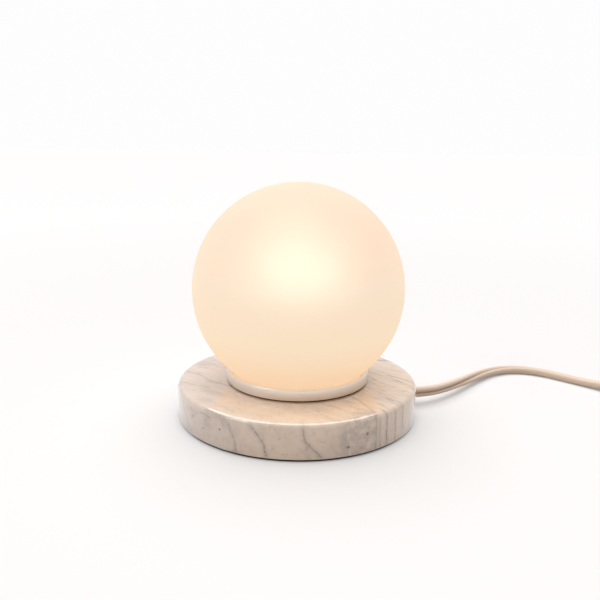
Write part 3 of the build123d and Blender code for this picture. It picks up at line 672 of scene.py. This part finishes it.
def plated(name, tint, roughness=0.3, mottle=0.1, metallic=1.0, pits=0.01):
    """Plated or rolled metal with a soft mottle."""
    material, place, shader = new_finish(name, Roughness=roughness, Metallic=metallic)
    cloud = place.noise(0.5, detail=4.0, roughness=0.6)
    darker = colour(*(v * (1 - mottle * 2) for v in tint))
    feed(shader, Base_Color=cloud.mixed(darker, colour(*tint)))
    feed(shader, Roughness=cloud * 0.18 + (roughness - 0.09))
    feed(shader, Normal=bumped(place.noise(4.0, detail=3.0), pits, 0.5))
    return material


def woven(name, tint, shade):
    """A textile braid on the cord's own map: two sets of strands that cross and hide each other,
    with painted shade in the braid's low parts and in the cord's two grooves.
    """
    strands = 9
    strand_pitch = 1.9
    threads_per_strand = 5
    material, place, shader = new_finish(
        name, Roughness=0.78, Sheen_Weight=0.25, Sheen_Roughness=0.45
    )
    surface = place.node("ShaderNodeUVMap", {"uv_map": "weave"})
    along = surface.node("ShaderNodeSeparateXYZ", {}, {"Vector": surface})
    around = along.output("Y")
    strand = math.tau * strands
    one = (around * strand + along * (math.tau / strand_pitch)).sine()
    other = (around * strand - along * (math.tau / strand_pitch)).sine()
    thread = (around * strand * threads_per_strand + along * 7.0).sine() * 0.08
    height = one.larger(other) + thread
    worn = place.noise(0.25, detail=3.0)
    # the grooves are a quarter and three quarters of the way round, and painted shade darkens them
    groove_shade = abs(abs(around - 0.5) - 0.25).between(0.045, 0.01)
    # painted shade: the low parts of the braid and the grooves are mixed towards the shade colour
    shadow = (height.between(0.9, -0.3) * 0.5 + groove_shade).clamped()
    dark = worn.mixed(colour(*(v * 0.9 for v in tint)), colour(*tint))
    feed(shader, Base_Color=(shadow * 0.85).mixed(dark, colour(*shade)))
    feed(shader, Normal=bumped(height, 0.12, 0.8))
    return material


# the second colour is the painted shade in the braid's hollows and the grooves
textile = woven("textile", (0.90, 0.75, 0.62), (0.47, 0.34, 0.25))
collar_metal = plated(
    "collar_metal", (0.985, 0.94, 0.89), roughness=0.34, mottle=0.015, metallic=0.9, pits=0.0004
)
zinc_steel = plated("zinc_steel", (0.62, 0.63, 0.65), roughness=0.36)
spring_steel = plated("spring_steel", (0.66, 0.66, 0.67), roughness=0.24, mottle=0.05)
contact_brass = plated("contact_brass", (0.78, 0.60, 0.30), roughness=0.26, mottle=0.08)
nickel = plated("nickel", (0.75, 0.74, 0.72), roughness=0.16, mottle=0.03)
board_metal = plated("board_metal", (0.86, 0.86, 0.85), roughness=0.5, mottle=0.02, metallic=0.0)
black_rubber = moulded("black_rubber", (0.06, 0.055, 0.05), roughness=0.62)
foot_foam = moulded("foot_foam", (0.07, 0.055, 0.042), roughness=0.85, grain=0.12)
seat_silicone = moulded("seat_silicone", (0.82, 0.80, 0.76), roughness=0.5)
clamp_nylon = moulded("clamp_nylon", (0.85, 0.84, 0.80), roughness=0.45)
holder_plastic = moulded("holder_plastic", (0.82, 0.80, 0.76), roughness=0.42)
holder_ceramic = moulded("holder_ceramic", (0.86, 0.84, 0.80), roughness=0.6, grain=0.04)
switch_plastic = moulded("switch_plastic", (0.83, 0.78, 0.70), roughness=0.3)
rocker_plastic = moulded("rocker_plastic", (0.80, 0.75, 0.67), roughness=0.26)
plug_plastic = moulded("plug_plastic", (0.83, 0.78, 0.70), roughness=0.34)
sleeve_plastic = moulded("sleeve_plastic", (0.10, 0.10, 0.10), roughness=0.4)
tie_plastic = moulded("tie_plastic", (0.10, 0.10, 0.10), roughness=0.45)
bulb_white = moulded("bulb_white", (0.90, 0.89, 0.87), roughness=0.25)
bulb_black = moulded("bulb_black", (0.03, 0.03, 0.03), roughness=0.12)
core_brown = moulded("core_brown", (0.25, 0.12, 0.06), roughness=0.4)
core_blue = moulded("core_blue", (0.06, 0.18, 0.45), roughness=0.4)
bulb_opal = moulded("bulb_opal", (0.96, 0.93, 0.88), roughness=0.4)

# %% The bulb's light
bulb_strength = 38.0
bulb_shader = bulb_opal.node_tree.nodes["Principled BSDF"]
bulb_low, bulb_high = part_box("bulb_diffuser")
bulb_place = Signal(bulb_opal.node_tree).node("ShaderNodeTexCoord", output=3)
bulb_warmth = bulb_place.along(upward).between(bulb_high.z, bulb_low.z)
bulb_tint = bulb_warmth.mixed(colour(0.60, 0.56, 0.54), colour(1.0, 0.95, 0.92))
feed(bulb_shader, Emission_Color=bulb_tint)
print("diffuser from", round(bulb_low.z / mm, 1), "to", round(bulb_high.z / mm, 1), "mm up")
bulb_shader.inputs["Emission Strength"].default_value = bulb_strength

# %% [markdown]
# ## Dressing the CAD parts
# Parts whose shape is right as it comes keep their mesh and only get a finish. Those of the bulb,
# the holder and the switch are of this kind.

# %% Finishes of the CAD parts
finishes = {
    "foot_pad": foot_foam,
    "cord_bush": black_rubber,
    "inner_cord": clamp_nylon,
    "line_core": core_brown,
    "neutral_core": core_blue,
    "clamp_bar": clamp_nylon,
    "clamp_saddle": clamp_nylon,
    "clamp_screws": zinc_steel,
    "nipple": zinc_steel,
    "lock_washer": zinc_steel,
    "lock_nut": zinc_steel,
    "collar_gasket": black_rubber,
    "globe_seat": seat_silicone,
    "globe_clips": spring_steel,
    "clip_rivets": spring_steel,
    "holder_cap": holder_plastic,
    "holder_skirt": holder_plastic,
    "holder_insert": holder_ceramic,
    "screw_shell": contact_brass,
    "centre_contact": contact_brass,
    "terminal_blocks": contact_brass,
    "terminal_screws": zinc_steel,
    "bulb_contact": nickel,
    "bulb_insulator": bulb_black,
    "bulb_screw_cap": nickel,
    "bulb_housing": bulb_white,
    "bulb_led_board": board_metal,
    "bulb_diffuser": bulb_opal,
    "switch_lower": switch_plastic,
    "switch_upper": switch_plastic,
    "switch_rocker": rocker_plastic,
    "switch_pivot": zinc_steel,
    "switch_contacts": contact_brass,
    "switch_screws": zinc_steel,
    "coil_tie": tie_plastic,
    "plug_body": plug_plastic,
    "plug_pins": nickel,
    "plug_sleeves": sleeve_plastic,
}


def dress(piece, finish):
    """Gives a piece one finish."""
    piece.data.materials.clear()
    piece.data.materials.append(finish)


for node, finish in finishes.items():
    dress(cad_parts[node], finish)
for cord in (front_cord, back_cord):
    dress(cord, textile)

# %% [markdown]
# ## Working in edit mode
# The stone, the collar and the globe are modelled again, because they fill the picture and their
# outlines have to be truly round. They are made as by hand: add a primitive, go into edit mode,
# pick faces or edges by where they are, and extrude, inset or bevel them. These helpers do the
# picking.


# %% Edit mode helpers
def start(kind, **settings):
    """Adds a primitive on its own and leaves it in edit mode with nothing selected."""
    bpy.ops.object.select_all(action="DESELECT")
    getattr(bpy.ops.mesh, f"primitive_{kind}_add")(**settings)
    piece = bpy.context.object
    bpy.ops.object.mode_set(mode="EDIT")
    bpy.ops.mesh.select_all(action="DESELECT")
    return piece


def pick(piece, mode, test):
    """Selects the faces or edges whose corners pass the test, and says how many there are."""
    bpy.ops.mesh.select_mode(type=mode)
    bpy.ops.mesh.select_all(action="DESELECT")
    mesh = bmesh.from_edit_mesh(piece.data)
    elements = mesh.faces if mode == "FACE" else mesh.edges
    picked = 0
    for element in elements:
        corners = [piece.matrix_world @ v.co for v in element.verts]
        if test(corners):
            element.select_set(True)
            picked += 1
    mesh.select_flush_mode()
    bmesh.update_edit_mesh(piece.data)
    return picked


def flat_ring(height, radius, slack=0.05 * mm):
    """A test for edges that lie on a level circle."""
    return lambda corners: all(
        abs(c.z - height) < slack and abs(math.hypot(c.x, c.y) - radius) < slack for c in corners
    )


def flat_disc(height, radius, slack=0.05 * mm):
    """A test for a level face whose corners all lie on a circle."""
    return lambda corners: len(corners) > 8 and flat_ring(height, radius, slack)(corners)


def level_edge(height, slack=0.02 * mm):
    """A test for edges at one height."""
    return lambda corners: all(abs(c.z - height) < slack for c in corners)


def either(one, other):
    """A test that passes what one of two tests passes."""
    return lambda corners: one(corners) or other(corners)


def inset_to(radius_now, radius_then):
    """Insets the picked disc to a smaller radius."""
    bpy.ops.mesh.inset(thickness=radius_now - radius_then, depth=0)


def push(distance):
    """Extrudes what is picked straight up or down."""
    bpy.ops.mesh.extrude_region_move(TRANSFORM_OT_translate={"value": (0, 0, distance)})


def open_disc(piece, height, radius, hole_radius):
    """Cuts a round hole in the middle of a level disc."""
    pick(piece, "FACE", flat_disc(height, radius))
    inset_to(radius, hole_radius)
    bpy.ops.mesh.delete(type="FACE")


def join_rings(piece, one, other):
    """Joins two open rings of edges with a tube."""
    pick(piece, "EDGE", either(one, other))
    bpy.ops.mesh.bridge_edge_loops()


def round_off(piece, test, offset, segments):
    """Bevels the edges that pass the test."""
    print("edges to round", pick(piece, "EDGE", test))
    bpy.ops.mesh.bevel(offset=offset, segments=segments, affect="EDGES")


def end(piece, name):
    """Back to object mode, with the place in the mesh and faces outwards."""
    bpy.ops.mesh.select_all(action="SELECT")
    bpy.ops.mesh.remove_doubles(threshold=0.001 * mm)
    bpy.ops.mesh.normals_make_consistent(inside=False)
    bpy.ops.object.mode_set(mode="OBJECT")
    bpy.ops.object.transform_apply(location=True, rotation=True, scale=True)
    piece.name = piece.data.name = name
    return piece


def bake_modifiers(piece):
    """Applies a piece's modifiers."""
    bpy.context.view_layer.objects.active = piece
    for modifier in list(piece.modifiers):
        bpy.ops.object.modifier_apply(modifier=modifier.name)


# %% [markdown]
# ## The marble base
# A stone disc, turned on a lathe, with a soft round on its top edge and a small one below.
# Underneath it is hollowed for the wiring, a tube passes through its middle, and the cord leaves
# through its side. A cylinder gives the disc; insets and extrusions give the recess and the bore;
# bevels give the rounds.

# %% Marble base
low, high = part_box("marble_base")
base_radius = high.x
stone_bottom, stone_top = low.z, high.z
recess_radius, recess_top = 30.0 * mm, 13.7 * mm
bore_radius = 5.3 * mm
top_round, foot_round = 3.0 * mm, 0.8 * mm
sharp_angle = math.radians(35)
steps = 192

stone = start(
    "cylinder",
    vertices=steps,
    radius=base_radius,
    depth=stone_top - stone_bottom,
    location=(0, 0, (stone_top + stone_bottom) / 2),
)
pick(stone, "FACE", flat_disc(stone_bottom, base_radius))
inset_to(base_radius, recess_radius)
push(recess_top - stone_bottom)
inset_to(recess_radius, bore_radius)
bpy.ops.mesh.delete(type="FACE")
open_disc(stone, stone_top, base_radius, bore_radius)
join_rings(stone, flat_ring(stone_top, bore_radius), flat_ring(recess_top, bore_radius))
round_off(stone, flat_ring(stone_top, base_radius), top_round, segments=8)
round_off(stone, flat_ring(stone_bottom, base_radius), foot_round, segments=4)
end(stone, "stone_base")

# %% The cord's hole in the stone
bush_low, bush_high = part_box("cord_bush")
bush_clearance = 0.1 * mm
drill_length, drill_middle = 60 * mm, 58 * mm
drill = start(
    "cylinder",
    vertices=48,
    radius=(bush_high.z - bush_low.z) / 2 + bush_clearance,
    depth=drill_length,
    location=(drill_middle, 0, (bush_high.z + bush_low.z) / 2),
    rotation=(0, math.pi / 2, 0),
)
end(drill, "drill")
cut = stone.modifiers.new("cord_hole", "BOOLEAN")
cut.operation = "DIFFERENCE"
cut.object = drill
cut.solver = "EXACT"
bake_modifiers(stone)
bpy.data.objects.remove(drill)
bpy.ops.object.select_all(action="DESELECT")
stone.select_set(True)
bpy.context.view_layer.objects.active = stone
bpy.ops.object.shade_smooth_by_angle(angle=sharp_angle)
dress(stone, marble)
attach(stone, "base")
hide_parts("marble_base")
print("stone faces", len(stone.data.polygons))

# %% [markdown]
# ## The collar
# A low cup turned from aluminium. The glass neck stands inside it, so all that shows is its wall,
# with a softly rounded lip, under the curve of the ball.

# %% Collar
low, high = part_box("collar")
collar_radius, collar_bottom, collar_top = high.x, low.z, high.z
collar_inner = collar_radius - 2.1 * mm
collar_floor = collar_bottom + 1.5 * mm
lip_round, collar_foot_round = 0.9 * mm, 0.4 * mm

collar = start(
    "cylinder",
    vertices=steps,
    radius=collar_radius,
    depth=collar_top - collar_bottom,
    location=(0, 0, (collar_top + collar_bottom) / 2),
)
pick(collar, "FACE", flat_disc(collar_top, collar_radius))
inset_to(collar_radius, collar_inner)
push(collar_floor - collar_top)
inset_to(collar_inner, bore_radius)
bpy.ops.mesh.delete(type="FACE")
open_disc(collar, collar_bottom, collar_radius, bore_radius)
join_rings(collar, flat_ring(collar_floor, bore_radius), flat_ring(collar_bottom, bore_radius))
lips = either(flat_ring(collar_top, collar_radius), flat_ring(collar_top, collar_inner))
round_off(collar, lips, lip_round, segments=6)
round_off(collar, flat_ring(collar_bottom, collar_radius), collar_foot_round, segments=3)
end(collar, "collar_ring")
bpy.ops.object.shade_smooth_by_angle(angle=sharp_angle)
dress(collar, collar_metal)
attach(collar, "base")
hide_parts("collar")
print("collar faces", len(collar.data.polygons))

# %% [markdown]
# ## The glass globe
# A blown ball of opal glass, 12 cm across, cut open below and drawn into a short neck with a
# fire-polished rim. A sphere is cut by a plane, the cut edge is extruded down as the neck, and
# Solidify gives the wall its 2.5 mm inwards.

# %% Globe
low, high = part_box("globe")
globe_radius = high.x
globe_middle = high.z - globe_radius
neck_radius = 37.5 * mm
glass_wall = 2.5 * mm
neck_round, rim_round = 0.35 * mm, 1.1 * mm
rim_slack = 0.1 * mm
neck_height = globe_middle - math.sqrt(globe_radius**2 - neck_radius**2)

globe = start(
    "uv_sphere", segments=160, ring_count=80, radius=globe_radius, location=(0, 0, globe_middle)
)
bpy.ops.mesh.select_all(action="SELECT")
bpy.ops.mesh.bisect(
    plane_co=(0, 0, neck_height), plane_no=(0, 0, 1), clear_inner=True, use_fill=False
)
pick(globe, "EDGE", level_edge(neck_height))
push(low.z - neck_height)
round_off(globe, level_edge(neck_height), neck_round, segments=3)
end(globe, "glass_globe")
wall = globe.modifiers.new("wall", "SOLIDIFY")
wall.thickness = glass_wall
wall.offset = -1.0
wall.use_even_offset = True
bake_modifiers(globe)
bpy.ops.object.mode_set(mode="EDIT")
outer_rim = flat_ring(low.z, neck_radius, rim_slack)
inner_rim = flat_ring(low.z, neck_radius - glass_wall, rim_slack)
round_off(globe, either(outer_rim, inner_rim), rim_round, segments=4)
bpy.ops.object.mode_set(mode="OBJECT")
bpy.ops.object.shade_smooth_by_angle(angle=math.radians(60))
dress(globe, opal_glass)
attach(globe, "globe")
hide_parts("globe")
print("globe faces", len(globe.data.polygons))

# %% [markdown]
# ## The table and the light
# The picture is a plain studio shot on white. A wide soft light overhead does most of the work, a
# weak warm surround fills in from all round, and a panel on the left gives the stone and the
# collar a faint sheen. The floor is a grey sheet, so that it throws little light up at the lamp.
# For the rays that show it, straight, mirrored or through glass, it is lifted to white, a little
# more far away, where it meets the background. Its soft shadows stay.

# %% Floor
bpy.ops.object.select_all(action="DESELECT")
bpy.ops.mesh.primitive_plane_add(size=40.0)
floor = bpy.context.object
floor.name = "floor"
paper, place, shader = new_finish(
    "paper", Roughness=0.9, Base_Color=colour(0.565, 0.56, 0.56), Specular_IOR_Level=0.0
)


def showing(tree):
    """1 for the rays that show the studio to the camera, straight, mirrored or through glass."""
    straight = Signal(tree).node("ShaderNodeLightPath").output("Is Camera Ray")
    mirrored = straight.output("Is Glossy Ray")
    return straight.larger(mirrored).larger(straight.output("Is Transmission Ray"))


near_lift, far_lift = 0.25, 0.045
bare = Signal(paper.node_tree, shader.outputs[0])
far = place.vector("LENGTH", {0: place}, output=1).between(200.0, 1200.0)
lift = place.node(
    "ShaderNodeEmission",
    {},
    {"Color": colour(0.96, 1.0, 1.03), "Strength": far * far_lift + near_lift},
)
lifted = place.node("ShaderNodeAddShader", {}, {0: bare, 1: lift})
chosen = place.node("ShaderNodeMixShader", {}, {0: showing(paper.node_tree), 1: bare, 2: lifted})
paper_output = paper.node_tree.nodes["Material Output"]
paper.node_tree.links.new(chosen.socket, paper_output.inputs["Surface"])
dress(floor, paper)

# %% World and lamps
world = bpy.data.worlds.new("studio")
world.use_nodes = True
bpy.context.scene.world = world
surround = 0.13
shown = 0.985
mirror_loss = 0.34
mirrored = Signal(world.node_tree).node("ShaderNodeLightPath").output("Is Glossy Ray")
strength = showing(world.node_tree) * (shown - surround) + surround - mirrored * mirror_loss
background = world.node_tree.nodes["Background"]
world.node_tree.links.new(strength.socket, background.inputs["Strength"])
tint = showing(world.node_tree).mixed(colour(1.5, 1.0, 0.65), colour(1.0, 1.0, 1.0))
world.node_tree.links.new(tint.socket, background.inputs["Color"])

ceiling = bpy.data.lights.new("ceiling", "SUN")
ceiling.energy = 3.55
ceiling.color = (0.985, 1.0, 1.02)
ceiling.angle = math.radians(75.0)
ceiling_lamp = bpy.data.objects.new("ceiling", ceiling)
ceiling_lamp.rotation_euler = (math.radians(-11.0), math.radians(-2.0), 0.0)
bpy.context.scene.collection.objects.link(ceiling_lamp)

panel = bpy.data.lights.new("panel", "AREA")
panel.shape = "RECTANGLE"
panel.size, panel.size_y = 0.5, 0.22
panel.energy = 2.0
panel_lamp = bpy.data.objects.new("panel", panel)
panel_lamp.location = (-1.3, -0.5, 1.1)
panel_aim = Vector((0, 0, 0.04)) - panel_lamp.location
panel_lamp.rotation_euler = panel_aim.to_track_quat("-Z", "Y").to_euler()
bpy.context.scene.collection.objects.link(panel_lamp)

# %% [markdown]
# ## View settings and the end
# The Standard view shows colours as they are written.

# %% Finish
bpy.context.scene.view_settings.view_transform = "Standard"
bpy.context.scene.cycles.use_denoising = True
